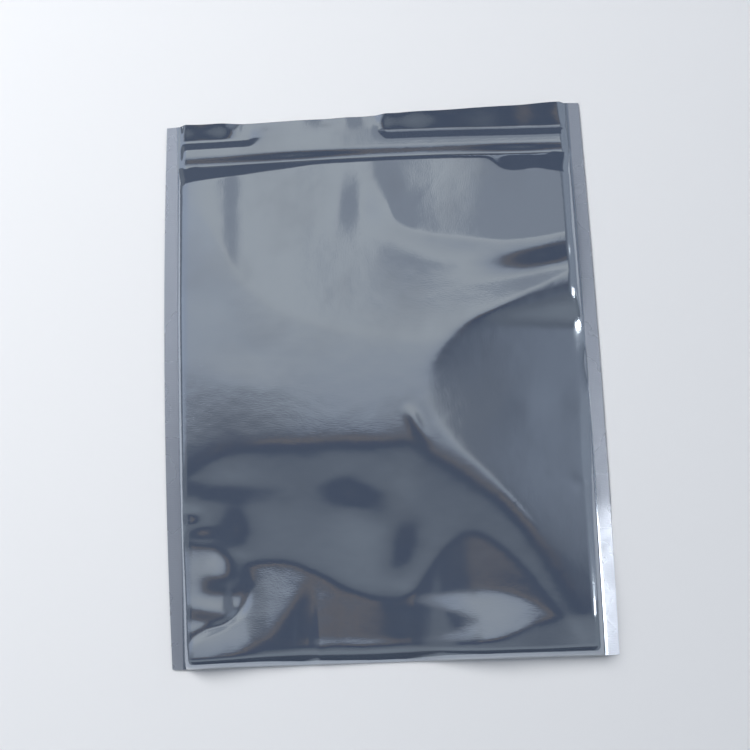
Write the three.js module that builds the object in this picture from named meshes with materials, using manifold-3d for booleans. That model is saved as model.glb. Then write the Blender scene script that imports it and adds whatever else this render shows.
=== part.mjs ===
// Reclosable anti static shielding bag, lying on its back with a little air in it.
// Millimetres, +Z up. X runs across the bag, Y from the bottom fold to the mouth.
// The film bag is one welded piece. Two interlocking zip strips lie in its mouth.

import * as THREE from 'three';
import { mergeVertices } from 'three/addons/utils/BufferGeometryUtils.js';
import Module from 'manifold-3d';

const wasm = await Module();
wasm.setup();

// Film bag
const pocketWidth = 203;
const pocketLength = 254;
const sealWidth = 7;
const lipLength = 10.5;
const filmThickness = 0.08;
const leftBow = 2.6;
const rightBow = 1.2;

// Air in the pocket
const puff = 11.2;
const mouthwardFall = 0.022;
const seamLift = 1.8;
const restHalfWidth = 62;
const sideRound = 6;
const foldRound = 6;
const mouthRound = 3.5;
const mouthBlend = 20;

// Zip strips
const tapeWidth = 14.5;
const flangeThickness = 0.2;
const flangeSpacing = 1.5;
const edgeSpacing = 0.25;
const stemWidth = 0.5;
const headWidth = 1.1;
const hookThickness = 0.4;
const hookDepth = 1.25;
const barbHeight = 0.35;
const runningClearance = 0.15;
const weldClearance = 0.05;
const endClearance = 0.3;
const crushedEnd = 4;
const zipSkew = -3.6;
const zipBow = 2.2;

// Open lips above the zip
const lipGap = 0.6;
const lipRipple = 0.5;
const lipCurl = 2.2;

// Mesh
const acrossStep = 5;
const upperStep = 8;
const lowerStep = 3.5;
const backStep = 20;
const stripStep = 9;

// Places that follow from the sizes
const halfPocket = pocketWidth / 2;
const halfWidth = halfPocket + sealWidth;
const halfLength = (pocketLength + tapeWidth + lipLength) / 2;
const foldY = -halfLength;
const tapeLow = foldY + pocketLength;
const tapeHigh = tapeLow + tapeWidth;
const zipY = tapeLow + tapeWidth / 2;
const sealThickness = 2 * filmThickness;
const slotHalf = halfPocket - crushedEnd;
const stripHalf = tapeWidth / 2 - weldClearance;
const hookOuter = headWidth / 2 + runningClearance + hookThickness;
const stemHeight = flangeSpacing - hookDepth + barbHeight + runningClearance;
const headHeight = flangeSpacing - stemHeight - runningClearance;

const { smoothstep, clamp, lerp } = THREE.MathUtils;

// A quarter ellipse: steep at the edge, level from t = 1 on
const rise = (t) => Math.sqrt(1 - (1 - clamp(t, 0, 1)) ** 2);

// Positions from one value to another in near equal steps
function steps(from, to, step) {
  const count = Math.max(1, Math.round((to - from) / step));
  return Array.from({ length: count + 1 }, (_, i) => lerp(from, to, i / count));
}

const joined = (...lists) => [...new Set(lists.flat().map((value) => Number(value.toFixed(4))))]
  .sort((a, b) => a - b);

// The folds of the pocket are drawn in millimetres on a pocket of this size, and stretch with it
const drawn = { width: 203, length: 254, fold: -139.5, ridge: -36 };

// Bends: the slope of the film changes by the turn where their line is crossed.
// A line has points of x, y and turn.
const bends = [
  {
    past: 'down',
    softness: 7,
    line: [
      [-112, -57, 0.1], [-98, -46, 0.115], [-80, -37, 0.125], [-60, -33, 0.125], [0, -34, 0.125],
      [14, -35, 0.12], [27, -43, 0.115], [45, -57, 0.11], [60, -72, 0.1], [72, -90, 0.075],
      [82, -108, 0.04], [92, -132, 0.015],
    ],
  },
  {
    past: 'right',
    softness: 4,
    line: [
      [114, 58, 0.06], [98, 49, 0.065], [80, 41, 0.07], [62, 33, 0.085], [45, 25, 0.1],
      [30, 10, 0.11], [24, -6, 0.105], [27, -20, 0.1], [38, -36, 0.105], [52, -51, 0.11],
      [64, -66, 0.1], [76, -86, 0.07], [88, -112, 0.03],
    ],
  },
  {
    past: 'up',
    softness: 2.6,
    line: [
      [-112, 96, 0.012], [-90, 90, 0.035], [-78, 72, 0.05], [-70, 56, 0.055], [-58, 42, 0.055],
      [-40, 32, 0.055], [-20, 24, 0.055], [0, 20, 0.05], [30, 16, 0.035], [60, 26, 0.012],
      [100, 40, 0.012],
    ],
  },
  {
    past: 'down',
    softness: 3,
    line: [
      [-112, -132, -0.2], [-99, -127, -0.23], [-92, -121, -0.23], [-80, -117, -0.23],
      [-72, -111.5, -0.22], [-68, -103, -0.21], [-65, -94, -0.21], [-58, -88.5, -0.225],
      [-48, -89.5, -0.225], [-35, -95, -0.185], [-18, -104, -0.165], [0, -110, -0.135],
      [9, -107, -0.12], [18, -96, -0.12], [27, -86, -0.13], [40, -79, -0.132],
      [53, -85, -0.125], [66, -98, -0.105], [80, -118, -0.06], [100, -150, 0],
    ],
  },
  {
    past: 'down',
    softness: 2.4,
    line: [
      [-25, -106, 0], [-12, -106, -0.05], [0, -106, -0.09], [20, -106.5, -0.1],
      [60, -110, -0.1], [75, -116, -0.06], [90, -125, 0],
    ],
  },
  {
    past: 'down',
    softness: 2,
    line: [[-22, -111, 0], [-10, -111.5, 0.04], [10, -113, 0.085], [30, -116, 0.085], [47, -119.8, 0]],
  },
  {
    past: 'down',
    softness: 2,
    line: [
      [-60, -128.5, 0], [-45, -126.5, -0.06], [-30, -127, -0.075], [-10, -128, -0.11],
      [10, -127.5, -0.1], [30, -124, -0.085], [47, -120.2, 0],
    ],
  },
  {
    past: 'down',
    softness: 1.6,
    line: [
      [-112, -139, 0.2], [-60, -133, 0.28], [0, -131.5, 0.28], [55, -128.5, 0.2], [72, -122, 0.12],
      [90, -120, 0.1],
    ],
  },
  {
    past: 'up',
    softness: 0.8,
    line: [
      [-112, 102, 0.28], [-80, 107, 0.28], [-40, 111, 0.28], [-18, 116, 0.28], [0, 124, 0.28],
      [30, 122, 0.28], [46, 113, 0.28], [67, 104.5, 0.28], [104, 101, 0.28],
    ],
  },
  {
    past: 'left',
    softness: 26,
    line: [[-66, 150, 0.055], [-70, 0, 0.055], [-66, -60, 0.055], [-60, -140, 0.055]],
  },
];

// Patches of film that lean: half length along, width across, slope, and turn in degrees
const patches = [
  { at: [-78, -55], size: [24, 11], slope: -0.075, turn: -6 },
  { at: [-77, -80], size: [11, 36], slope: -0.1, turn: 0 },
  { at: [-13, -60], size: [17, 22], slope: -0.09, turn: 0 },
  { at: [7, -85], size: [8, 30], slope: -0.105, turn: 0 },
  { at: [84, 56], size: [30, 12], slope: 0.18, turn: 9 },
  { at: [-12, 92], size: [17, 15], slope: 0.21, turn: 80 },
  { at: [7, 93], size: [24, 15], slope: 0.22, turn: 100 },
  { at: [-84, 52], size: [14, 20], slope: 0.03, turn: 20 },
  { at: [-74, 9], size: [24, 16], slope: -0.03, turn: -12 },
  { at: [79, -18], size: [10, 15], slope: 0.07, turn: 90 },
];
const patchEdge = 0.2;
const patchReach = 1.3;

// The crumpled corner by the left end of the fold
const crumple = { at: [-88, -99], size: [11, 12], height: 1.2 };

// The crease that swings from the middle of the mouth to the right seam
const crease = {
  path: [[3, 104], [8, 90], [14, 80], [26, 74], [45, 70], [70, 67], [112, 72]],
  height: 1,
  outside: 34,
  inside: 14,
  crest: 3,
  ease: 0.25,
};

// A smooth curve through values at rising places: cubic between them, straight beyond the ends
function curveThrough(places, values) {
  const last = places.length - 1;
  const gap = (i) => places[i + 1] - places[i];
  const rate = (i) => (values[i + 1] - values[i]) / gap(i);
  const tangents = values.map((_, i) => {
    if (i === 0) return rate(0);
    if (i === last) return rate(last - 1);
    return (rate(i - 1) * gap(i) + rate(i) * gap(i - 1)) / (gap(i - 1) + gap(i));
  });
  return (place) => {
    if (place <= places[0]) return values[0] + (place - places[0]) * tangents[0];
    if (place >= places[last]) return values[last] + (place - places[last]) * tangents[last];
    const i = places.findIndex((next) => next > place) - 1;
    const t = (place - places[i]) / gap(i);
    return (1 + 2 * t) * (1 - t) ** 2 * values[i]
      + t * (1 - t) ** 2 * gap(i) * tangents[i]
      + t * t * (3 - 2 * t) * values[i + 1]
      + t * t * (t - 1) * gap(i) * tangents[i + 1];
  };
}

for (const bend of bends) {
  bend.along = bend.past === 'up' || bend.past === 'down' ? 0 : 1;
  bend.sense = bend.past === 'up' || bend.past === 'right' ? 1 : -1;
  const points = bend.line.slice().sort((a, b) => a[bend.along] - b[bend.along]);
  const places = points.map((point) => point[bend.along]);
  bend.lineAt = curveThrough(places, points.map((point) => point[1 - bend.along]));
  const turnThrough = curveThrough(places, points.map((point) => point[2]));
  bend.turnAt = (place) => turnThrough(clamp(place, places[0], places[places.length - 1]));
}

// The height falls by the turn times the distance past the line, rounded over the softness
function bendHeight({ along, sense, lineAt, turnAt, softness }, point) {
  const past = sense * (point[1 - along] - lineAt(point[along]));
  return (-turnAt(point[along]) * (past + Math.hypot(past, softness))) / 2;
}

// A point in the turned axes of a patch, as shares of its two half lengths
function withinPatch({ at, size, turn = 0 }, point) {
  const angle = THREE.MathUtils.degToRad(turn);
  const dx = point[0] - at[0];
  const dy = point[1] - at[1];
  return [
    (dx * Math.cos(angle) + dy * Math.sin(angle)) / size[0],
    (dy * Math.cos(angle) - dx * Math.sin(angle)) / size[1],
  ];
}

// Across its width a patch runs from one level to another, and fades on all sides
function patchHeight(patch, point) {
  const [u, v] = withinPatch(patch, point);
  const step = (Math.hypot(v + 0.5, patchEdge) - Math.hypot(v - 0.5, patchEdge)) / 2;
  return patch.slope * patch.size[1] * step * Math.exp(-u * u - (v / patchReach) ** 2);
}

function crumpleHeight(point) {
  const [u, v] = withinPatch(crumple, point);
  return crumple.height * Math.exp(-u * u - v * v);
}

const creasePoints = new THREE.CatmullRomCurve3(
  crease.path.map(([x, y]) => new THREE.Vector3(x, y, 0)),
  false,
  'catmullrom',
  0.5,
).getPoints(6 * (crease.path.length - 1));

// A rounded crest that falls away over a different width on each side and fades in at its start
function creaseHeight([x, y]) {
  let nearest = { distance: Infinity, side: 1, share: 0 };
  for (let i = 0; i + 1 < creasePoints.length; i += 1) {
    const dx = creasePoints[i + 1].x - creasePoints[i].x;
    const dy = creasePoints[i + 1].y - creasePoints[i].y;
    const px = x - creasePoints[i].x;
    const py = y - creasePoints[i].y;
    const t = clamp((px * dx + py * dy) / (dx * dx + dy * dy), 0, 1);
    const distance = Math.hypot(px - t * dx, py - t * dy);
    if (distance < nearest.distance) {
      nearest = { distance, side: dx * py - dy * px, share: (i + t) / (creasePoints.length - 1) };
    }
  }
  const reach = nearest.side > 0 ? crease.outside : crease.inside;
  const away = Math.hypot(nearest.distance, crease.crest) - crease.crest;
  return crease.height * smoothstep(nearest.share, 0, crease.ease) * clamp(1 - away / reach, 0, 1) ** 2;
}

// The film over the air: a gently falling plane with the bends, patches and creases
function inflated(x, y) {
  const point = [
    (x * drawn.width) / pocketWidth,
    drawn.fold + ((y - foldY) * drawn.length) / pocketLength,
  ];
  let z = puff - mouthwardFall * (point[1] - drawn.ridge);
  for (const bend of bends) z += bendHeight(bend, point);
  for (const patch of patches) z += patchHeight(patch, point);
  return z + crumpleHeight(point) + creaseHeight(point);
}

// The back lies on the table in the middle and lifts towards the side seams
function backHeight(x) {
  const t = clamp((Math.abs(x) - restHalfWidth) / (halfPocket - restHalfWidth), 0, 1);
  const droop = Math.max(Math.abs(x) - halfPocket, 0) / sealWidth;
  return seamLift * (t * t - 0.35 * droop);
}

// The zip strips lie a little askew and bent in the mouth
const zipShift = (x) => zipSkew * (x / (2 * halfPocket)) + zipBow * (1 - (x / halfPocket) ** 2);

// Distance between the strips' flanges, wide over the interlock and nearly closed at the edges
function spacing(v) {
  const away = clamp((Math.abs(v) - hookOuter) / (tapeWidth / 2 - hookOuter), 0, 1);
  return lerp(flangeSpacing, edgeSpacing, smoothstep(away, 0, 1));
}

// Height of the slot between the two films of the mouth
function slotHeight(x, v) {
  if (Math.abs(v) <= tapeWidth / 2) return 2 * flangeThickness + spacing(v) + 2 * weldClearance;
  const past = clamp((v - tapeWidth / 2) / lipLength, 0, 1);
  const low = 2 * flangeThickness + edgeSpacing + 2 * weldClearance;
  const ripple = lipRipple * (0.5 + 0.5 * Math.sin(x / 4.1 + 2 * Math.sin(x / 17)));
  const curl = lipCurl * smoothstep(x, 2, 9);
  return lerp(low, lipGap + ripple + curl, past);
}

// Full inside the crushed zip ends, nothing at the side seals
const mouthFullness = (x) => smoothstep(halfPocket - Math.abs(x), 0, crushedEnd);

function mouthHeight(x, v) {
  return backHeight(x) + sealThickness + mouthFullness(x) * slotHeight(x, v);
}

function frontHeight(x, y) {
  if (y > tapeLow) return mouthHeight(x, y - zipY);
  const toMouth = smoothstep(y, tapeLow - mouthBlend, tapeLow);
  const flat = backHeight(x) + sealThickness;
  const base = lerp(flat, mouthHeight(x, tapeLow - zipY), toMouth);
  const fullness = rise((halfPocket - Math.abs(x)) / sideRound)
    * rise((y - foldY) / foldRound)
    * rise((tapeLow - y) / mouthRound);
  return base + Math.max(inflated(x, y) - base, 0) * fullness;
}

// Where a point of the flat film pattern lies: bowed sides, and a mouth that follows the zip
function placed(x, y) {
  const bow = (x < 0 ? leftBow : rightBow) * (1 - (y / halfLength) ** 2);
  const inMouth = y < zipY
    ? smoothstep(y, tapeLow - 2 * mouthBlend, tapeLow)
    : 1 - smoothstep(y, tapeHigh, halfLength);
  const shift = Math.abs(x) < halfPocket ? zipShift(x) * inMouth : 0;
  return [x + (bow * x) / halfWidth + (leftBow - rightBow) / 2, y + shift];
}

// A closed block between a height surface and a level floor or ceiling
function block(xs, ys, heightAt, level) {
  const positions = [];
  const triangles = [];
  const quad = (a, b, c, d) => triangles.push(a, b, c, a, c, d);
  const top = (i, j) => j * xs.length + i;
  for (const y of ys) {
    for (const x of xs) positions.push(...placed(x, y), heightAt(x, y));
  }
  for (let j = 0; j + 1 < ys.length; j += 1) {
    for (let i = 0; i + 1 < xs.length; i += 1) {
      quad(top(i, j), top(i + 1, j), top(i + 1, j + 1), top(i, j + 1));
    }
  }
  const rim = [
    ...xs.map((_, i) => top(i, 0)),
    ...ys.slice(1).map((_, j) => top(xs.length - 1, j + 1)),
    ...xs.slice(1).map((_, i) => top(xs.length - 2 - i, ys.length - 1)),
    ...ys.slice(1, -1).map((_, j) => top(0, ys.length - 2 - j)),
  ];
  const first = positions.length / 3;
  for (const corner of rim) positions.push(...positions.slice(3 * corner, 3 * corner + 2), level);
  rim.forEach((corner, k) => {
    const next = (k + 1) % rim.length;
    quad(corner, first + k, first + next, rim[next]);
  });
  const outline = rim.map((_, k) => new THREE.Vector2(
    positions[3 * (first + k)],
    positions[3 * (first + k) + 1],
  ));
  for (const [a, b, c] of THREE.ShapeUtils.triangulateShape(outline, [])) {
    triangles.push(first + a, first + c, first + b);
  }
  if (heightAt(xs[0], ys[0]) < level) {
    for (let k = 0; k < triangles.length; k += 3) {
      [triangles[k], triangles[k + 1]] = [triangles[k + 1], triangles[k]];
    }
  }
  return solidFrom(positions, triangles);
}

function solidFrom(positions, triangles) {
  return new wasm.Manifold(new wasm.Mesh({
    numProp: 3,
    vertProperties: new Float32Array(positions),
    triVerts: new Uint32Array(triangles),
  }));
}

function geometryFrom(solid) {
  const mesh = solid.getMesh();
  const geometry = new THREE.BufferGeometry();
  geometry.setAttribute('position', new THREE.BufferAttribute(mesh.vertProperties, 3));
  geometry.setIndex(new THREE.BufferAttribute(mesh.triVerts, 1));
  return geometry;
}

// Stations across and along the film
const pastEdge = 4;
const above = 2 * puff + 10;
const below = -5;
const seams = [-halfWidth, -halfPocket, halfPocket, halfWidth];
const nearSeam = [0.4, 1.4, crushedEnd, 6.5, 10];
const acrossStations = joined(
  seams,
  nearSeam.map((inset) => inset - halfPocket),
  nearSeam.map((inset) => halfPocket - inset),
  steps(10 - halfPocket, halfPocket - 10, acrossStep),
);
const nearFold = [0, 0.2, 0.8, 2, 3.6, 5.6, 8];
const nearMouth = [7, 3.6, 2, 0.9, 0.25];
const tapeStations = [-1, -0.78, -0.52, -0.33, -0.17, 0, 0.17, 0.33, 0.52, 0.78, 1];
const lipStations = [0.2, 0.45, 0.72, 1];
const middleY = foldY + 0.45 * pocketLength;
const alongStations = joined(
  nearFold.map((inset) => foldY + inset),
  steps(foldY + 8, middleY, lowerStep),
  steps(middleY, tapeLow - 7, upperStep),
  nearMouth.map((inset) => tapeLow - inset),
  tapeStations.map((share) => zipY + (share * tapeWidth) / 2),
  lipStations.map((share) => tapeHigh + share * lipLength),
);
const backStations = joined(
  seams,
  [-halfWidth - pastEdge, halfWidth + pastEdge],
  [0.25, 0.5, 0.75, 1].map((t) => lerp(restHalfWidth, halfPocket, t)),
  [0.25, 0.5, 0.75, 1].map((t) => -lerp(restHalfWidth, halfPocket, t)),
  [-restHalfWidth, restHalfWidth],
);

// What lies between two height surfaces: the lower one is laid on wider stations
function layer(columns, rows, upper, lowerColumns, lowerRows, lower) {
  return block(columns, rows, upper, below).intersect(block(lowerColumns, lowerRows, lower, above));
}

// The closed pocket with its seals, folded bottom and two lips
function filmBag() {
  const backRows = steps(foldY - pastEdge, halfLength + pastEdge, backStep);
  const outer = layer(acrossStations, alongStations, frontHeight, backStations, backRows, backHeight);
  const slotColumns = acrossStations.filter((x) => Math.abs(x) < slotHalf + filmThickness);
  const slotRows = [...alongStations.filter((y) => y > tapeLow - filmThickness), halfLength + pastEdge];
  const floorColumns = [-halfPocket, ...slotColumns, halfPocket];
  const floorRows = [tapeLow - pastEdge, halfLength + 2 * pastEdge];
  const roof = (x, y) => mouthHeight(x, y - zipY) - filmThickness;
  const floor = (x) => backHeight(x) + filmThickness;
  const slot = layer(slotColumns, slotRows, roof, floorColumns, floorRows, floor);
  return geometryFrom(outer.subtract(slot));
}

// A strip of one section, given as points of v across the tape and height, laid along the mouth
function zipStrip(section) {
  const end = slotHalf - endClearance;
  const columns = joined(steps(-end, end, stripStep), [-restHalfWidth, restHalfWidth]);
  const positions = [];
  const triangles = [];
  for (const x of columns) {
    const bed = backHeight(x) + filmThickness + weldClearance;
    for (const { x: v, y: z } of section) positions.push(...placed(x, zipY + v), bed + z);
  }
  const count = section.length;
  for (let i = 0; i + 1 < columns.length; i += 1) {
    for (let k = 0; k < count; k += 1) {
      const a = i * count + k;
      const b = i * count + ((k + 1) % count);
      triangles.push(a, b, b + count, a, b + count, a + count);
    }
  }
  const last = (columns.length - 1) * count;
  for (const [a, b, c] of THREE.ShapeUtils.triangulateShape(section, [])) {
    triangles.push(a, c, b, last + a, last + b, last + c);
  }
  const geometry = new THREE.BufferGeometry();
  geometry.setAttribute('position', new THREE.BufferAttribute(new Float32Array(positions), 3));
  geometry.setIndex(triangles);
  return mergeVertices(geometry);
}

const sectionPoints = (pairs) => pairs.map(([v, z]) => new THREE.Vector2(v, z));
const mirrored = (pairs) => [...pairs, ...pairs.slice().reverse().map(([v, z]) => [-v, z])];

// The rib: a flange with a stem and a tapered head
function ribSection() {
  const neck = flangeThickness + stemHeight;
  return sectionPoints(mirrored([
    [stripHalf, 0],
    [stripHalf, flangeThickness],
    [stemWidth / 2, flangeThickness],
    [stemWidth / 2, neck],
    [headWidth / 2, neck],
    [headWidth / 2, neck + headHeight / 3],
    [headWidth / 5, neck + headHeight],
  ]));
}

// The groove: a flange with two hooks that reach round the rib's head
function grooveSection() {
  const under = (v) => flangeThickness + spacing(v);
  const roof = under(0);
  const foot = roof - hookDepth;
  const inner = headWidth / 2 + runningClearance;
  const mouth = stemWidth / 2 + runningClearance;
  const wing = tapeStations.map((share) => share * stripHalf).filter((v) => v > hookOuter);
  const topSide = wing.slice().reverse().map((v) => [v, under(v) + flangeThickness]);
  const halfSection = [
    [inner, roof],
    [inner, foot + barbHeight],
    [mouth, foot + barbHeight],
    [mouth, foot],
    [hookOuter, foot],
    [hookOuter, roof],
    ...wing.map((v) => [v, under(v)]),
    ...topSide,
    [hookOuter, roof + flangeThickness],
  ];
  return sectionPoints(mirrored(halfSection));
}

const filmMaterial = new THREE.MeshStandardMaterial({
  name: 'metallised film',
  color: 0x7d8894,
  roughness: 0.22,
  metalness: 0.8,
});
const zipMaterial = new THREE.MeshStandardMaterial({
  name: 'zip plastic',
  color: 0xc9ccc8,
  roughness: 0.4,
  metalness: 0,
});

function named(name, geometry, material) {
  const mesh = new THREE.Mesh(geometry, material);
  mesh.name = name;
  return mesh;
}

const bag = new THREE.Group();
bag.name = 'shielding_bag';
bag.add(named('film_bag', filmBag(), filmMaterial));
bag.add(named('zip_rib_strip', zipStrip(ribSection()), zipMaterial));
bag.add(named('zip_groove_strip', zipStrip(grooveSection()), zipMaterial));

export default bag;
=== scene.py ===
import bpy
import bmesh
import numpy as np
from mathutils import Matrix


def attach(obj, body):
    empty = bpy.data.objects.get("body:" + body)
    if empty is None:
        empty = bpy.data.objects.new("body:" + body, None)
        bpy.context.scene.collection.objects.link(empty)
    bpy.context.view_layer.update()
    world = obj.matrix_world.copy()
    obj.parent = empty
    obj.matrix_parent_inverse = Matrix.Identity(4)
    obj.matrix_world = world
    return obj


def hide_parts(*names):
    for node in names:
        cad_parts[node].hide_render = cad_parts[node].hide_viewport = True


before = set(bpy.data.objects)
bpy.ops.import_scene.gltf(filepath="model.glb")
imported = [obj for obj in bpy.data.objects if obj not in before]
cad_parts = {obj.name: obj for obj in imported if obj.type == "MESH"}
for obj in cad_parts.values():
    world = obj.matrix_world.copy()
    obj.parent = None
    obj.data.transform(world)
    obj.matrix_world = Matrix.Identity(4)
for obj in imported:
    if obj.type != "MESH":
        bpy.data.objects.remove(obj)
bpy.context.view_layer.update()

metre = 0.001   # the bag is worked out in millimetres and set down in metres
hair = 1e-6     # how far apart two stations may be and still be the same one

# sizes of the bag, which the solids have too, but for the droop of the right seal
bag = dict(
    halfPocket=101.5, seal=7.0, halfLength=139.5, pocketLength=254.0, tape=14.5, lip=10.5,
    film=0.08, leftBow=2.6, rightBow=1.2,
    seamLift=1.8, leftDroop=0.63, rightDroop=1.05, lowDroop=0.7, lowDroopEnds=(-80, -62),
    restHalf=62.0, sideRound=6.0, foldRound=6.0, mouthRound=3.5, mouthBlend=20.0,
    crushed=4.0, zipSkew=-3.6, zipBow=2.2,
    flange=0.2, spacing=1.5, edgeSpacing=0.25, weld=0.05, hookOuter=1.1,
)
# how the mouth lies: where the lip is slack, where the tape is strained, the ripple and the curls
mouth = dict(
    slackFrom=(-66, -54), slackTo=(0, 9), slackReach=10.0, slackEdge=0.62,
    strained=((-42, 30), (74, 22)), strainedShare=0.6,
    lipGap=0.6, ripple=0.5, rippleStep=4.1, rippleSway=17.0,
    curl=2.2, curlFrom=(2, 9), cornerCurl=1.9, cornerEnds=(-80, -68),
)
# the soft edge of a leaning patch, and how far it reaches beyond its width
patch = dict(edge=0.2, reach=1.3)
halfWidth = bag["halfPocket"] + bag["seal"]
foldY = -bag["halfLength"]
tapeLow = foldY + bag["pocketLength"]
tapeHigh = tapeLow + bag["tape"]
zipY = tapeLow + bag["tape"] / 2
slotHalf = bag["halfPocket"] - bag["crushed"]


# surface of the bag: heights over the flat pattern
def smooth(low, high, value):
    # 0 below low, 1 above high, with level ends: t squared times (3 - 2t)
    t = np.clip((value - low) / (high - low), 0, 1)
    return t * t * (3 - 2 * t)


def rise(t):
    # a quarter ellipse, steep at 0 and level from 1 on
    return np.sqrt(np.clip(1 - (1 - np.clip(t, 0, 1)) ** 2, 0, 1))


def softRamp(t, r):
    # 0 for negative t and t for positive t, rounded over a width r
    return 0.5 * (t + np.sqrt(t * t + r * r))


def curve(places, values, at):
    # a smooth curve through the values, cubic between places, straight beyond the ends
    p = np.array(places, float)
    q = np.array(values, float)
    if p[0] > p[-1]:
        p, q = p[::-1], q[::-1]
    gap = np.diff(p)
    rate = np.diff(q) / gap
    inner = (rate[:-1] * gap[1:] + rate[1:] * gap[:-1]) / (gap[:-1] + gap[1:])
    tangent = np.concatenate([rate[:1], inner, rate[-1:]])
    i = np.clip(np.searchsorted(p, at) - 1, 0, len(p) - 2)
    h = p[i + 1] - p[i]
    t = (at - p[i]) / h
    c = np.clip(t, 0, 1)
    inside = ((1 + 2 * c) * (1 - c) ** 2 * q[i] + c * (1 - c) ** 2 * h * tangent[i]
              + c * c * (3 - 2 * c) * q[i + 1] + c * c * (c - 1) * h * tangent[i + 1])
    return (inside + np.where(t < 0, t * h * tangent[i], 0)
            + np.where(t > 1, (t - 1) * h * tangent[i + 1], 0))


def bend(x, y, line, turn, r, way="down"):
    # the slope changes by turn where the line is crossed: height falls by turn times the
    # rounded distance past the line, taken down, up, right or left
    p = np.array(line, float)
    if way in ("down", "up"):
        where, along, across = curve(p[:, 0], p[:, 1], x), x, y
        keys = p[:, 0]
    else:
        where, along, across = curve(p[:, 1], p[:, 0], y), y, x
        keys = p[:, 1]
    past = across - where if way in ("up", "right") else where - across
    k = curve(keys, turn, np.clip(along, keys.min(), keys.max())) if np.ndim(turn) else turn
    return -k * softRamp(past, r)


def tilt(x, y, at, size, slope, turn=0.0):
    # a patch that leans: across its width the height runs by slope from one level to another,
    # fading over the half length along it and slowly to both sides
    a = np.radians(turn)
    u = ((x - at[0]) * np.cos(a) + (y - at[1]) * np.sin(a)) / size[0]
    v = ((y - at[1]) * np.cos(a) - (x - at[0]) * np.sin(a)) / size[1]
    step = (np.hypot(v + 0.5, patch["edge"]) - np.hypot(v - 0.5, patch["edge"])) / 2
    return slope * size[1] * step * np.exp(-u * u - (v / patch["reach"]) ** 2)


def crease(x, y, line, height, left, right, crest, ease=(0.1, 0.1)):
    # a rounded crest along a smooth line, falling as the square of the share of the width left;
    # left and right are as seen when travelling along the line, and ease is the share of the
    # line over which the crest rises at its start and sinks at its end
    stepsPerPart = 8
    p = np.array(line, float)
    s = np.arange(len(p), dtype=float)
    fine = np.linspace(0, len(p) - 1, stepsPerPart * (len(p) - 1) + 1)
    cx, cy = curve(s, p[:, 0], fine), curve(s, p[:, 1], fine)
    best = np.full(x.shape, np.inf)
    side = np.ones(x.shape)
    share = np.zeros(x.shape)
    for i in range(len(fine) - 1):
        dx, dy = cx[i + 1] - cx[i], cy[i + 1] - cy[i]
        px, py = x - cx[i], y - cy[i]
        t = np.clip((px * dx + py * dy) / (dx * dx + dy * dy), 0, 1)
        d = np.hypot(px - t * dx, py - t * dy)
        near = d < best
        best = np.where(near, d, best)
        side = np.where(near, dx * py - dy * px, side)
        share = np.where(near, (i + t) / (len(fine) - 1), share)
    width = np.where(side > 0, left, right)
    away = np.hypot(best, crest) - crest
    fade = smooth(0, ease[0], share) * smooth(0, ease[1], 1 - share)
    return height * fade * np.clip(1 - away / width, 0, 1) ** 2


# bends of the front: the line of each, how much the slope turns along it, its rounding and the
# side on which it acts; first the ridge across the bag, which runs down to the right corner
lowerRidge = dict(
    line=[(-112, -57), (-98, -46), (-80, -37), (-60, -33), (-25, -34), (0, -34), (14, -35), (27, -43),
          (45, -57), (60, -72), (72, -90), (82, -108), (92, -132)],
    turn=[.10, .115, .125, .125, .125, .125, .12, .115, .11, .10, .075, .04, .015], r=4.8)
# the right part, which falls away to the seam and looks like a leaf
leafEdge = dict(
    line=[(114, 58), (98, 49), (80, 41), (62, 33), (44, 25), (28, 10), (21, -6), (24, -20), (35, -36),
          (50, -51), (63, -66), (76, -86), (88, -112)],
    turn=[.03, .04, .058, .082, .10, .11, .105, .10, .105, .11, .10, .07, .03], r=3.2, way="right")
# the long slope up to the zip
upperFall = dict(
    line=[(-112, 96), (-90, 90), (-78, 72), (-70, 56), (-58, 42), (-40, 32), (-20, 24), (0, 20),
          (30, 16), (60, 26), (100, 40)],
    turn=[.012, .035, .05, .055, .055, .055, .055, .05, .045, .03, .02], r=2.6, way="up")
# the waves above the fold: a valley, the rise past it, and a lens between two lines
lowerValley = dict(
    line=[(-112, -77), (-98, -78), (-88, -80.5), (-78, -85), (-68, -88.5), (-58, -89), (-48, -90),
          (-35, -95), (-18, -104), (0, -110), (9, -107), (18, -96), (27, -86), (40, -79), (53, -85),
          (66, -98), (80, -118), (100, -150)],
    turn=[-.20, -.215, -.22, -.215, -.205, -.205, -.198, -.184, -.165, -.135, -.12, -.12, -.13, -.132,
          -.125, -.105, -.06, 0], r=3.0)
lowerRise = dict(
    line=[(-25, -106), (-12, -106), (0, -106), (20, -106.5), (60, -110), (75, -116), (90, -125)],
    turn=[0, -.05, -.09, -.10, -.10, -.06, 0], r=2.4)
lensTop = dict(
    line=[(-22, -111), (-10, -111.5), (10, -113), (30, -116), (47, -119.8)],
    turn=[0, .04, .085, .085, 0], r=2.0)
lensFoot = dict(
    line=[(-60, -128.5), (-45, -126.5), (-30, -127), (-10, -128), (10, -127.5), (30, -124),
          (47, -120.2)],
    turn=[0, -.06, -.075, -.11, -.10, -.085, 0], r=2.0)
# the lobe in the left corner
lobeFall = dict(line=[(-98, -112), (-70, -108), (-45, -104)], turn=[-.025, -.025, 0], r=10.0)
lobeEdge = dict(
    line=[(-98, -137), (-80, -132.5), (-66, -128), (-56, -121.5), (-49, -113), (-42, -103), (-35, -94)],
    turn=[.05, .07, .075, .075, .075, .06, 0], r=4.5)
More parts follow.
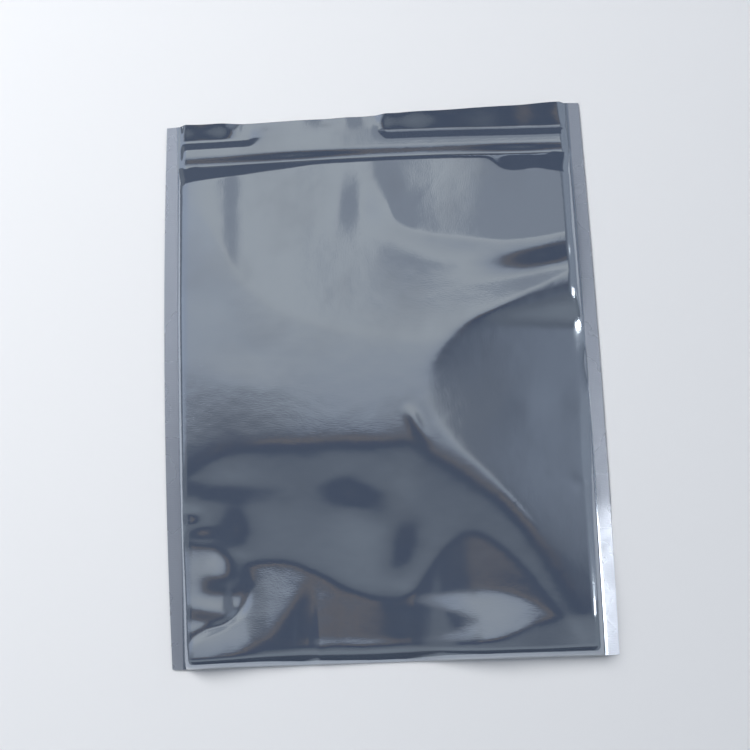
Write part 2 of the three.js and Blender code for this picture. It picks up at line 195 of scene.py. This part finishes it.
# the rolled edges at the fold, the mouth and the left side
foldRoll = dict(
    line=[(-112, -139), (-95, -137), (-60, -133), (-30, -131), (0, -131.5), (35, -131), (55, -128.5),
          (72, -122), (90, -120)],
    turn=[.2, .25, .28, .28, .28, .26, .2, .12, .1], r=1.6)
mouthFall = dict(
    line=[(-112, 102), (-98, 105), (-80, 107), (-60, 109), (-40, 111), (-18, 116), (0, 124), (30, 122),
          (46, 113), (60, 110), (67, 104.5), (75, 103.5), (82, 104.5), (92, 103), (104, 101)],
    turn=.28, r=0.8, way="up")
leftFlank = dict(line=[(-66, 150), (-68, 60), (-70, 0), (-66, -60), (-60, -140)], turn=.055, r=26.0,
                 way="left")
allBends = [lowerRidge, leafEdge, upperFall, lowerValley, lowerRise, lensTop, lensFoot,
            lobeFall, lobeEdge, foldRoll, mouthFall, leftFlank]
# leaning patches, by place, half length and width, slope, and the turn of their length
allTilts = [
    dict(at=(-78, -55), size=(24, 10), slope=-.075, turn=-4),
    dict(at=(-75, -72), size=(11, 23), slope=-.09),
    dict(at=(-73.5, -93), size=(6, 20), slope=.11),
    dict(at=(-20, -57), size=(12, 16), slope=-.075, turn=20),
    dict(at=(-6, -63), size=(13, 15), slope=-.06, turn=-25),
    dict(at=(7, -85), size=(8, 28), slope=-.105, turn=-8),
    dict(at=(84, 56), size=(30, 12), slope=.175, turn=9),
    dict(at=(-12, 91), size=(15, 12), slope=.075, turn=83),
    dict(at=(9, 91), size=(22, 14), slope=.075, turn=100),
    dict(at=(-84, 52), size=(14, 20), slope=.03, turn=20),
    dict(at=(-74, 9), size=(24, 16), slope=-.03, turn=-12),
    dict(at=(79, -18), size=(10, 15), slope=.05, turn=90),
    dict(at=(95, -56.5), size=(4.5, 4), slope=.15, turn=-12),
    dict(at=(-95.5, -67), size=(5, 5), slope=-.20),
    dict(at=(-91.5, -73.5), size=(7.5, 6), slope=-.14),
    dict(at=(-86, -100), size=(6, 11), slope=.11, turn=-10),
    dict(at=(-78, -101), size=(5, 9), slope=.08, turn=20),
    dict(at=(-88, -114), size=(11, 7), slope=.13, turn=-12),
]
# a long swell below the zip, a short crease on the ridge, and the groove around the corner lobe
allCreases = [
    dict(line=[(3, 104), (8, 90), (14, 80), (26, 74), (45, 70), (70, 67), (112, 72)],
         height=1.0, left=34, right=14, crest=3.0, ease=(.25, .02)),
    dict(line=[(11, -14), (15, -22), (19, -31), (24, -38)],
         height=.5, left=5, right=5, crest=1.2, ease=(.35, .6)),
    dict(line=[(-69, -94), (-68.5, -103), (-72, -111.5), (-80, -117.5), (-90, -121), (-97, -126),
               (-99, -137)],
         height=-.4, left=3, right=3, crest=.6, ease=(.2, .02)),
]
# the plane that carries them all: its height at one place along the bag, and its fall
puff = dict(height=11.2, fall=-0.022, at=-36.0)


def inflated(x, y):
    # a gently falling plane plus the heights of all bends, leaning patches and creases
    z = puff["height"] + puff["fall"] * (y - puff["at"])
    for one in allBends:
        z = z + bend(x, y, **one)
    for one in allTilts:
        z = z + tilt(x, y, **one)
    for one in allCreases:
        z = z + crease(x, y, **one)
    return z


def backHeight(x, y):
    # level in the middle, a parabola up to the seam, then a droop across the seal, which is
    # deeper on the right side and deepest at its lower end
    t = np.clip((np.abs(x) - bag["restHalf"]) / (bag["halfPocket"] - bag["restHalf"]), 0, 1)
    droop = np.maximum(np.abs(x) - bag["halfPocket"], 0) / bag["seal"]
    right = bag["rightDroop"] + bag["lowDroop"] * (1 - smooth(*bag["lowDroopEnds"], y))
    return bag["seamLift"] * t * t - droop * np.where(x > 0, right, bag["leftDroop"])


def zipShift(x):
    # the zip lies a little askew and bent: a line and a parabola across the bag
    share = x / bag["halfPocket"]
    return bag["zipSkew"] * x / (2 * bag["halfPocket"]) + bag["zipBow"] * (1 - share ** 2)


def slotHeight(x, v):
    # room between the lips: both flanges and the interlock, narrowing to the tape's edges,
    # then the lip gap with a ripple; left of the middle the lip falls more slowly, and at its
    # right half and left corner it curls up
    half = bag["tape"] / 2
    slack = smooth(*mouth["slackFrom"], x) * (1 - smooth(*mouth["slackTo"], x))
    reach = half - bag["hookOuter"] + np.where(v > 0, mouth["slackReach"] * slack, 0)
    strained = sum(np.exp(-((x - at) / wide) ** 2) for at, wide in mouth["strained"])
    lift = mouth["slackEdge"] * (1 - mouth["strainedShare"] * strained)
    edge = bag["edgeSpacing"] + np.where(v < 0, lift, 0)

    def lipRoom(v):
        away = np.clip((np.abs(v) - bag["hookOuter"]) / reach, 0, 1)
        widest = 2 * bag["flange"] + 2 * bag["weld"] + bag["spacing"]
        return widest + (edge - bag["spacing"]) * smooth(0, 1, away)

    past = np.clip((v - half) / bag["lip"], 0, 1)
    corner = mouth["cornerCurl"] * (1 - smooth(*mouth["cornerEnds"], x))
    curl = (mouth["curl"] * smooth(*mouth["curlFrom"], x) + corner) * past
    wave = 0.5 + 0.5 * np.sin(x / mouth["rippleStep"] + 2 * np.sin(x / mouth["rippleSway"]))
    low = lipRoom(half)
    lip = low + (mouth["lipGap"] - low) * past + mouth["ripple"] * past * wave + curl
    return np.where(v <= half, lipRoom(v), lip)


def mouthHeight(x, y):
    # back, two films and the slot, which closes over the crushed zip ends
    full = smooth(0, bag["crushed"], bag["halfPocket"] - np.abs(x))
    return backHeight(x, y) + 2 * bag["film"] + full * slotHeight(x, y - zipY)


def frontHeight(x, y):
    # the inflated pocket, rounded down to the seams, the fold and the mouth
    toMouth = smooth(tapeLow - bag["mouthBlend"], tapeLow, y)
    flat = backHeight(x, y) + 2 * bag["film"]
    base = flat + (mouthHeight(x, np.maximum(y, tapeLow)) - flat) * toMouth
    full = (rise((bag["halfPocket"] - np.abs(x)) / bag["sideRound"])
            * rise((y - foldY) / bag["foldRound"]) * rise((tapeLow - y) / bag["mouthRound"]))
    pocket = base + np.maximum(inflated(x, y) - base, 0) * full
    return np.where(y > tapeLow, mouthHeight(x, y), pocket)


def placed(x, y):
    # the flat pattern laid out: bowed sides, and a mouth that follows the zip
    bow = np.where(x < 0, bag["leftBow"], bag["rightBow"]) * (1 - (y / bag["halfLength"]) ** 2)
    inMouth = np.where(y < zipY, smooth(tapeLow - 2 * bag["mouthBlend"], tapeLow, y),
                       1 - smooth(tapeHigh, bag["halfLength"], y))
    shift = np.where(np.abs(x) < bag["halfPocket"], zipShift(x) * inMouth, 0)
    return x + bow * x / halfWidth + (bag["leftBow"] - bag["rightBow"]) / 2, y + shift


def spread(start, end, step):
    # near equal steps from start to end
    count = max(1, round((end - start) / step))
    return np.linspace(start, end, count + 1)


def joined(*lists):
    # all stations of several lists in order, each once
    return np.unique(np.round(np.concatenate(lists), 4))


class Shell:
    # grids, walls and fans gathered into one mesh; shared edges are merged at the end
    def __init__(self):
        self.points = []
        self.faces = []
        self.count = 0

    def take(self, points, faces, flip):
        # adds points and faces, with the faces turned over where they would look inward
        self.faces += (faces[:, ::-1] if flip else faces).tolist()
        self.points.append(points)
        self.count += len(points)

    def grid(self, xs, ys, heights, flip=False):
        # a sheet over every pair of stations, at the given heights
        x, y = np.meshgrid(xs, ys)
        px, py = placed(x, y)
        i, j = np.meshgrid(np.arange(len(xs) - 1), np.arange(len(ys) - 1))
        a = (j * len(xs) + i).ravel() + self.count
        quads = np.stack([a, a + 1, a + len(xs) + 1, a + len(xs)], 1)
        self.take(np.stack([px.ravel(), py.ravel(), heights(x, y).ravel()], 1), quads, flip)

    def edge(self, xs, ys, heights):
        # points along a line of stations, at the given heights
        px, py = placed(xs, ys)
        return np.stack([px, py, heights(xs, ys)], 1)

    def wall(self, xs, ys, upper, lower, flip=False):
        # an upright strip along a line of stations, between two heights
        a = np.arange(len(xs) - 1) + self.count
        quads = np.stack([a, a + len(xs), a + len(xs) + 1, a + 1], 1)
        self.take(np.concatenate([self.edge(xs, ys, upper), self.edge(xs, ys, lower)]), quads, flip)

    def fan(self, fine, coarse, y, upper, lower, flip=False):
        # an upright strip from many stations above to few below, as fans of triangles
        top = self.edge(fine, np.full(len(fine), y), upper)
        foot = self.edge(coarse, np.full(len(coarse), y), lower)
        i = np.arange(len(fine) - 1)
        cell = np.clip(np.searchsorted(coarse, fine[:-1] + hair) - 1, 0, len(coarse) - 2)
        low = self.count + len(fine)
        slim = np.stack([low + cell, self.count + i + 1, self.count + i], 1)
        k = np.arange(len(coarse) - 1)
        over = self.count + np.searchsorted(fine, coarse[1:] - hair)
        wide = np.stack([low + k, low + k + 1, over], 1)
        self.take(np.concatenate([top, foot]), np.concatenate([slim, wide]), flip)

    def mesh(self, name, gap, sharp):
        # one closed mesh: points nearer than gap are merged, edges sharper than sharp stay sharp
        data = bpy.data.meshes.new(name)
        data.from_pydata(np.concatenate(self.points) * metre, [], self.faces)
        work = bmesh.new()
        work.from_mesh(data)
        bmesh.ops.remove_doubles(work, verts=work.verts, dist=gap)
        work.to_mesh(data)
        work.free()
        data.shade_smooth()
        data.set_sharp_from_angle(angle=sharp)
        return data


def addPiece(data, body):
    # an object for the mesh, riding the body
    piece = bpy.data.objects.new(data.name, data)
    bpy.context.scene.collection.objects.link(piece)
    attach(piece, body)
    return piece


# film bag: steps of the mesh in millimetres, with closer stations beside the seams
filmMesh = dict(
    across=1.0, along=1.0, alongTape=0.5, alongLip=0.6, back=7.0, edge=[0.12, 0.35, 0.65],
    gap=2e-7, sharp=0.9,
)


def makeFilm():
    # front and back as sheets over the flat pattern, walls around them, and the open mouth
    # between the lips down to the tape's lower edge
    edge = np.array(filmMesh["edge"])
    seam = bag["halfPocket"]
    across = filmMesh["across"]
    seams = np.array([-halfWidth, -seam, -slotHalf, slotHalf, seam, halfWidth])
    coarse = joined(seams, spread(-slotHalf, slotHalf, filmMesh["back"]))
    fine = joined(coarse, spread(-slotHalf, slotHalf, across), spread(slotHalf, halfWidth, across),
                  spread(-halfWidth, -slotHalf, across), edge - seam, seam - edge)
    rows = joined(spread(foldY, tapeLow, filmMesh["along"]), foldY + edge, tapeLow - edge,
                  spread(tapeLow, tapeHigh, filmMesh["alongTape"]),
                  spread(tapeHigh, bag["halfLength"], filmMesh["alongLip"]))
    mouthRows = rows[rows > tapeLow - hair]
    top = bag["halfLength"]

    def roof(x, y):
        return mouthHeight(x, y) - bag["film"]

    def floor(x, y):
        return backHeight(x, y) + bag["film"]

    def roofEdge(x, y):
        return np.where(np.abs(x) < slotHalf + hair, roof(x, y), frontHeight(x, y))

    def floorEdge(x, y):
        return np.where(np.abs(x) < slotHalf + hair, floor(x, y), backHeight(x, y))

    shell = Shell()
    shell.grid(fine, rows, frontHeight)
    shell.grid(coarse, rows, backHeight, flip=True)
    shell.fan(fine, coarse, foldY, frontHeight, backHeight)
    for x, flip in ((halfWidth, False), (-halfWidth, True)):
        shell.wall(np.full(len(rows), x), rows, frontHeight, backHeight, flip)
    for low, high in ((-halfWidth, -slotHalf), (slotHalf, halfWidth)):
        part = fine[(fine > low - hair) & (fine < high + hair)]
        few = coarse[(coarse > low - hair) & (coarse < high + hair)]
        # slivers beside the slot's corners, so that its edges meet those of the ends
        shell.wall(part, np.full(len(part), top), frontHeight, roofEdge, flip=True)
        shell.fan(part, few, top, roofEdge, floorEdge, flip=True)
        shell.wall(few, np.full(len(few), top), floorEdge, backHeight, flip=True)
    inner = fine[np.abs(fine) < slotHalf + hair]
    few = coarse[np.abs(coarse) < slotHalf + hair]
    shell.wall(inner, np.full(len(inner), top), frontHeight, roof, flip=True)
    shell.wall(few, np.full(len(few), top), floor, backHeight, flip=True)
    shell.grid(inner, mouthRows, roof, flip=True)
    shell.grid(few, mouthRows, floor)
    shell.fan(inner, few, tapeLow, roof, floor, flip=True)
    for x, flip in ((slotHalf, True), (-slotHalf, False)):
        shell.wall(np.full(len(mouthRows), x), mouthRows, roof, floor, flip)
    data = shell.mesh("shielding_film", filmMesh["gap"], filmMesh["sharp"])
    piece = addPiece(data, "root")
    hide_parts("film_bag")
    return piece


# shader helpers
class Field:
    # an output socket that adds Math nodes when it is used in sums and products
    def __init__(self, maker, socket):
        self.maker = maker
        self.socket = socket

    def math(self, operation, *values):
        # one Math node with its values in order
        sockets = {i: value for i, value in enumerate(values)}
        return self.maker.node("ShaderNodeMath", dict(operation=operation), sockets)

    def __add__(self, other):
        return self.math("ADD", self, other)

    def __radd__(self, other):
        return self.math("ADD", other, self)

    def __sub__(self, other):
        return self.math("SUBTRACT", self, other)

    def __rsub__(self, other):
        return self.math("SUBTRACT", other, self)

    def __mul__(self, other):
        return self.math("MULTIPLY", self, other)

    def __rmul__(self, other):
        return self.math("MULTIPLY", other, self)

    def absolute(self):
        return self.math("ABSOLUTE", self)

    def sine(self):
        return self.math("SINE", self)

    def smooth(self, low, high):
        # 0 below low, 1 above high, smooth between
        return self.maker.node("ShaderNodeMapRange", dict(interpolation_type="SMOOTHSTEP"),
                               {"Value": self, "From Min": low, "From Max": high})

    def within(self, low, high, soft):
        # 1 between low and high, with soft ends
        return self.smooth(low - soft, low + soft) * (1 - self.smooth(high - soft, high + soft))


class Maker:
    # adds nodes to one tree, which starts empty
    def __init__(self, tree):
        self.tree = tree
        tree.nodes.clear()

    def node(self, kind, settings=None, sockets=None, out=0):
        # one node: its settings first, then the values or links of its sockets; out is the
        # output that is handed back, or None
        made = self.tree.nodes.new(kind)
        for key, value in (settings or {}).items():
            setattr(made, key, value)
        for key, value in (sockets or {}).items():
            if isinstance(value, Field):
                self.tree.links.new(value.socket, made.inputs[key])
            elif isinstance(value, tuple) and len(value) == 3 and made.inputs[key].type == "RGBA":
                made.inputs[key].default_value = (*value, 1)
            else:
                made.inputs[key].default_value = value
        return None if out is None else Field(self, made.outputs[out])

    def mix(self, first, second, share):
        # two colours by a share
        return self.node("ShaderNodeMix", dict(data_type="RGBA"), {0: share, 6: first, 7: second}, 2)

    def split(self, vector):
        # the three parts of a vector
        parts = self.node("ShaderNodeSeparateXYZ", None, {0: vector}).socket.node
        return [Field(self, parts.outputs[i]) for i in range(3)]

    def stretch(self, vector, factors):
        # a vector with each part times its factor
        return self.node("ShaderNodeVectorMath", dict(operation="MULTIPLY"), {0: vector, 1: factors})

    def noise(self, vector, scale, detail):
        sockets = {"Vector": vector, "Scale": scale, "Detail": detail}
        return self.node("ShaderNodeTexNoise", None, sockets)

    def bump(self, height, distance):
        # a normal turned by the slope of height times distance
        sockets = {"Strength": 1.0, "Distance": distance, "Height": height}
        return self.node("ShaderNodeBump", None, sockets)

    def finish(self, sockets):
        # the surface shader and the output
        shade = self.node("ShaderNodeBsdfPrincipled", None, sockets)
        self.node("ShaderNodeOutputMaterial", None, {"Surface": shade}, None)


def newMaterial(name):
    # a material and the maker of its nodes
    material = bpy.data.materials.new(name)
    material.use_nodes = True
    return material, Maker(material.node_tree)


# metallised film: a grey mirror with a fine grain, and ribbed, duller side seals
film = dict(
    body=(.42, .465, .53), worn=(.39, .43, .49), seal=(.47, .50, .56), wornFrom=(.45, .75),
    metallic=0.85, sealMetallic=0.6, middle=0.0007, sealEdge=(0.1026, 0.1034),
    roughness=0.06, roughnessSpread=0.07, roughFrom=(.4, .7), sealRoughness=0.2, cloudScale=28,
    peelScale=1700.0, peelDepth=0.000014, swellScale=110.0, swellDepth=0.00006,
    grainFine=1900.0, grainLong=600.0, grainDepth=0.000009,
    ribPitch=0.0011, ribDepth=0.000006, ribSlant=0.6, ribSecond=0.63, ribSecondShare=0.5,
)


def filmMaterial():
    # the relief is the sum of a peel, a slow swell, streaks both ways and the ribs of the seals,
    # which are two sine waves; the seals begin at a set distance from the bag's middle
    material, make = newMaterial("metallised film")
    place = make.node("ShaderNodeTexCoord", None, None, 3)
    x, y = make.split(place)[:2]
    inSeal = (x - film["middle"]).absolute().smooth(*film["sealEdge"])
    fine, long = film["grainFine"], film["grainLong"]
    peel = make.noise(place, film["peelScale"], 2)
    swell = make.noise(place, film["swellScale"], 1)
    warp = make.noise(make.stretch(place, (fine, long, long)), 1, 1)
    weft = make.noise(make.stretch(place, (long, fine, long)), 1, 1)
    cloud = make.noise(place, film["cloudScale"], 3)
    turn = 2 * np.pi / film["ribPitch"]
    slanted = (x * film["ribSlant"] + y) * (turn * film["ribSecond"])
    ribs = (y * turn).sine() + slanted.sine() * film["ribSecondShare"]
    colour = make.mix(film["body"], film["worn"], cloud.smooth(*film["wornFrom"]))
    colour = make.mix(colour, film["seal"], inSeal)
    rough = (film["roughness"] + cloud.smooth(*film["roughFrom"]) * film["roughnessSpread"]
             + inSeal * film["sealRoughness"])
    metal = film["metallic"] + inSeal * (film["sealMetallic"] - film["metallic"])
    relief = (peel * film["peelDepth"] + swell * film["swellDepth"]
              + (warp + weft) * film["grainDepth"] + ribs * inSeal * film["ribDepth"])
    make.finish({"Base Color": colour, "Metallic": metal, "Roughness": rough,
                 "Normal": make.bump(relief, 1.0)})
    return material


# natural polyethylene of the zip
zipPlastic = dict(
    colour=(.72, .74, .72), shade=(.62, .65, .64), roughness=0.38, roughnessSpread=0.1,
    cloudScale=240.0, relief=0.00002,
)


def zipMaterial():
    # a milky plastic whose colour, roughness and relief all follow one noise
    material, make = newMaterial("zip plastic")
    place = make.node("ShaderNodeTexCoord", None, None, 3)
    cloud = make.noise(place, zipPlastic["cloudScale"], 2)
    colour = make.mix(zipPlastic["colour"], zipPlastic["shade"], cloud)
    rough = zipPlastic["roughness"] + cloud * zipPlastic["roughnessSpread"]
    make.finish({"Base Color": colour, "Roughness": rough,
                 "Normal": make.bump(cloud, zipPlastic["relief"])})
    return material


# studio
studio = dict(
    floorColour=(.885, .885, .89), floorSize=3.0, floorRoughness=0.9, floorShine=0.2,
    lampAt=(-0.75, 0.55, 1.1), lampSize=0.9, lampPower=16.5,
    backdrop=(.93, .94, .95),
)
# colours of the room, with a bright panel above the bag, darker sides and dark gaps
room = dict(
    middle=(.125, .15, .19), low=(.26, .29, .325), dusk=(.03, .05, .09), night=(.015, .042, .10),
    side=(.10, .125, .17), sideFar=(.25, .285, .345), sideSoft=(.36, .40, .46),
    sideEdge=(.78, .82, .86), warm=(.64, .655, .65), cool=(.50, .55, .64), tan=(.215, .17, .145),
    glint=(8.0, 8.1, 8.2),
    panelLow=0.76, shadedLoss=0.36, shadedCool=0.8, cornerLoss=0.48,
)
# where they begin and end, in degrees from straight up, across and along the bag; a third
# number is the softness of both ends
zones = dict(
    lowToMiddle=(-20, -7), sideToFar=(11, 21), edgeToSoft=(-1, 5), farToEdge=(23, 28),
    sideAcross=(9, 12), sideAlong=(-8, -3), duskAlong=(-42, -30), duskAcross=(-50, 50, 5),
    shadedAlong=(20, 22.5), shadedAcross=(-3.8, -2.6), warmAcross=(-30, -8), warmAlong=(4, 18),
    panelRise=(4, 24), cornerAcross=(-10, -6), cornerAlong=(8, 11),
    panelAlong=(6.4, 41, 2.2), panelAcross=(-70, 11, 1.5),
    highAlong=(39, 44), highAcross=(-50, 40, 5), nightAlong=(-6, 6, 1), nightAcross=(-30, 13, 3),
    tanAlong=(2, 4.2, .9), tanAcross=(-13, 10, 2), glintAlong=(-9, -.5, 1.2), glintAcross=(31, 50, 2),
)


def makeRoom():
    # the room that the film mirrors: colours laid over each other by two angles from straight
    # up, each the arc tangent of a sideways part of the direction over its upward part
    world = bpy.data.worlds.new("room")
    bpy.context.scene.world = world
    world.use_nodes = True
    make = Maker(world.node_tree)
    way = make.node("ShaderNodeTexCoord", None, None, 0)
    x, y, z = make.split(way)
    up = z.math("MAXIMUM", z, 0.02)
    across = x.math("ARCTAN2", x, up) * (180 / np.pi)
    along = y.math("ARCTAN2", y, up) * (180 / np.pi)

    def rising(angle, name):
        return angle.smooth(*zones[name])

    def inside(name):
        return along.within(*zones[name + "Along"]) * across.within(*zones[name + "Across"])

    colour = make.mix(room["low"], room["middle"], rising(along, "lowToMiddle"))
    side = make.mix(room["side"], room["sideFar"], rising(across, "sideToFar"))
    edge = make.mix(room["sideEdge"], room["sideSoft"], rising(along, "edgeToSoft"))
    side = make.mix(side, edge, rising(across, "farToEdge"))
    colour = make.mix(colour, side, rising(across, "sideAcross") * rising(along, "sideAlong"))
    duskShare = (1 - rising(along, "duskAlong")) * across.within(*zones["duskAcross"])
    colour = make.mix(colour, room["dusk"], duskShare)
    shaded = rising(along, "shadedAlong") * rising(across, "shadedAcross")
    warmth = (rising(across, "warmAcross") * rising(along, "warmAlong")
              * (1 - room["shadedCool"] * shaded))
    panel = make.mix(room["cool"], room["warm"], warmth)
    corner = (1 - rising(across, "cornerAcross")) * (1 - rising(along, "cornerAlong"))
    strength = ((room["panelLow"] + (1 - room["panelLow"]) * rising(along, "panelRise"))
                * (1 - room["shadedLoss"] * shaded) * (1 - room["cornerLoss"] * corner))
    dim = make.node("ShaderNodeVectorMath", dict(operation="SCALE"), {0: panel, "Scale": strength})
    colour = make.mix(colour, dim, inside("panel"))
    highShare = rising(along, "highAlong") * across.within(*zones["highAcross"])
    colour = make.mix(colour, room["night"], highShare)
    for name in ("night", "tan", "glint"):
        colour = make.mix(colour, room[name], inside(name))
    seen = make.node("ShaderNodeLightPath", None, None, 0)
    colour = make.mix(colour, studio["backdrop"], seen)
    back = make.node("ShaderNodeBackground", None, {"Color": colour, "Strength": 1.0})
    make.node("ShaderNodeOutputWorld", None, {"Surface": back}, None)


def makeFloor():
    # one pale square under the bag, at the height on which it lies
    size = studio["floorSize"]
    corners = [(-size, -size, 0), (size, -size, 0), (size, size, 0), (-size, size, 0)]
    data = bpy.data.meshes.new("floor")
    data.from_pydata(corners, [], [(0, 1, 2, 3)])
    floor = bpy.data.objects.new("floor", data)
    bpy.context.scene.collection.objects.link(floor)
    material, make = newMaterial("pale paper")
    make.finish({"Base Color": studio["floorColour"], "Roughness": studio["floorRoughness"],
                 "Specular IOR Level": studio["floorShine"]})
    data.materials.append(material)


def makeLamp():
    # a large soft lamp up and to the left, which the mirror doesn't show
    light = bpy.data.lights.new("soft lamp", "AREA")
    light.shape = "DISK"
    light.size = studio["lampSize"]
    light.energy = studio["lampPower"]
    lamp = bpy.data.objects.new("soft lamp", light)
    bpy.context.scene.collection.objects.link(lamp)
    lamp.location = studio["lampAt"]
    aim = -lamp.location
    lamp.rotation_euler = aim.to_track_quat("-Z", "Y").to_euler()
    lamp.visible_glossy = False


# camera: where the photograph was taken from, nearly straight above
view = dict(
    at=(0.0237, -0.0746, 0.5004), lens=48.0, sensor=36, nearest=0.01,
    right=(0.99744, -0.04084, -0.05871), up=(0.04916, 0.98775, 0.14811),
    back=(0.05195, -0.15062, 0.98723),
)


def makeCamera():
    # the camera's place and its three directions, as columns of its matrix
    data = bpy.data.cameras.new("camera")
    data.lens = view["lens"]
    data.sensor_width = view["sensor"]
    data.clip_start = view["nearest"]
    camera = bpy.data.objects.new("camera", data)
    bpy.context.scene.collection.objects.link(camera)
    turn = Matrix((view["right"], view["up"], view["back"])).transposed().to_4x4()
    camera.matrix_world = Matrix.Translation(view["at"]) @ turn
    bpy.context.scene.camera = camera


bpy.context.scene.view_settings.view_transform = "Standard"
makeCamera()
makeFloor()
makeLamp()
makeRoom()
print("studio set")
filmPiece = makeFilm()
filmPiece.data.materials.append(filmMaterial())
print("film made,", len(filmPiece.data.polygons), "faces")
zipLook = zipMaterial()
for nodeName in ("zip_rib_strip", "zip_groove_strip"):
    strip = bpy.data.objects[nodeName]
    strip.material_slots[0].material = zipLook
print("materials set")
